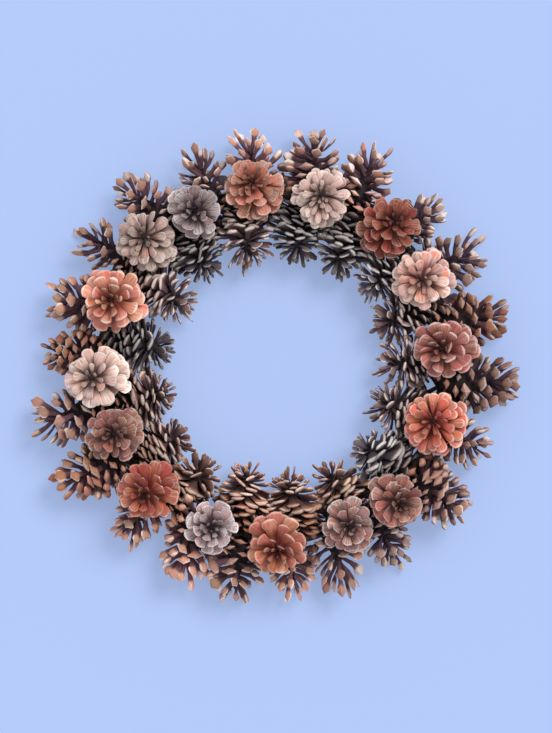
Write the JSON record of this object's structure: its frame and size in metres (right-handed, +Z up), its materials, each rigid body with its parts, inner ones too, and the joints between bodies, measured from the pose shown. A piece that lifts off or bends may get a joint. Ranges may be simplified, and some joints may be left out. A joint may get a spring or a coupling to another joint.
{
  "type": "pinecone wreath",
  "caption": "Round wreath of open pine cones on a ring of twisted shoots: a top row with tips up like flowers, an outer row pointing out and an inner row pointing in.",
  "frame": {"origin": "middle of the footprint, on the plane that the wreath rests on", "axes": "+Z up, out of the wreath's face; +Y towards the top of the wreath as the picture shows it, +X towards its right"},
  "size_m": [0.3594, 0.3494, 0.0678],
  "materials": {
    "terracotta_cone": "matt, terracotta wood with paler scale rims",
    "salmon_cone": "matt, salmon pink wood with pale scale rims",
    "beige_cone": "matt, bleached beige wood",
    "umber_cone": "matt, umber brown wood with pale scale rims",
    "silver_cone": "matt, weathered grey wood with pale scale rims",
    "outer_cone": "dark purple-brown scales with tan ends",
    "inner_cone": "dark grey-brown scales with pale rims",
    "willow_bark": "brown bark, slightly satin"
  },
  "bodies": {
    "root": {"flower_cone_01": "salmon_cone", "flower_cone_02": "beige_cone", "flower_cone_03": "terracotta_cone", "flower_cone_04": "salmon_cone", "flower_cone_05": "terracotta_cone", "flower_cone_06": "terracotta_cone", "flower_cone_07": "umber_cone", "flower_cone_08": "umber_cone", "flower_cone_09": "salmon_cone", "flower_cone_10": "silver_cone", "flower_cone_11": "terracotta_cone", "flower_cone_12": "umber_cone", "flower_cone_13": "beige_cone", "flower_cone_14": "salmon_cone", "flower_cone_15": "beige_cone", "flower_cone_16": "silver_cone", "outer_cone_01": "outer_cone", "outer_cone_02": "outer_cone", "outer_cone_03": "outer_cone", "outer_cone_04": "outer_cone", "outer_cone_05": "outer_cone", "outer_cone_06": "outer_cone", "outer_cone_07": "outer_cone", "outer_cone_08": "outer_cone", "outer_cone_09": "outer_cone", "outer_cone_10": "outer_cone", "outer_cone_11": "outer_cone", "outer_cone_12": "outer_cone", "outer_cone_13": "outer_cone", "outer_cone_14": "outer_cone", "outer_cone_15": "outer_cone", "outer_cone_16": "outer_cone", "outer_cone_17": "outer_cone", "outer_cone_18": "outer_cone", "outer_cone_19": "outer_cone", "outer_cone_20": "outer_cone", "outer_cone_21": "outer_cone", "outer_cone_22": "outer_cone", "inner_cone_01": "inner_cone", "inner_cone_02": "inner_cone", "inner_cone_03": "inner_cone", "inner_cone_04": "inner_cone", "inner_cone_05": "inner_cone", "inner_cone_06": "inner_cone", "inner_cone_07": "inner_cone", "inner_cone_08": "inner_cone", "inner_cone_09": "inner_cone", "inner_cone_10": "inner_cone", "inner_cone_11": "inner_cone", "inner_cone_12": "inner_cone", "inner_cone_13": "inner_cone", "inner_cone_14": "inner_cone", "inner_cone_15": "inner_cone", "inner_cone_16": "inner_cone", "inner_cone_17": "inner_cone", "willow_shoot_1": "willow_bark", "willow_shoot_2": "willow_bark", "willow_shoot_3": "willow_bark"}
  },
  "joints": []
}
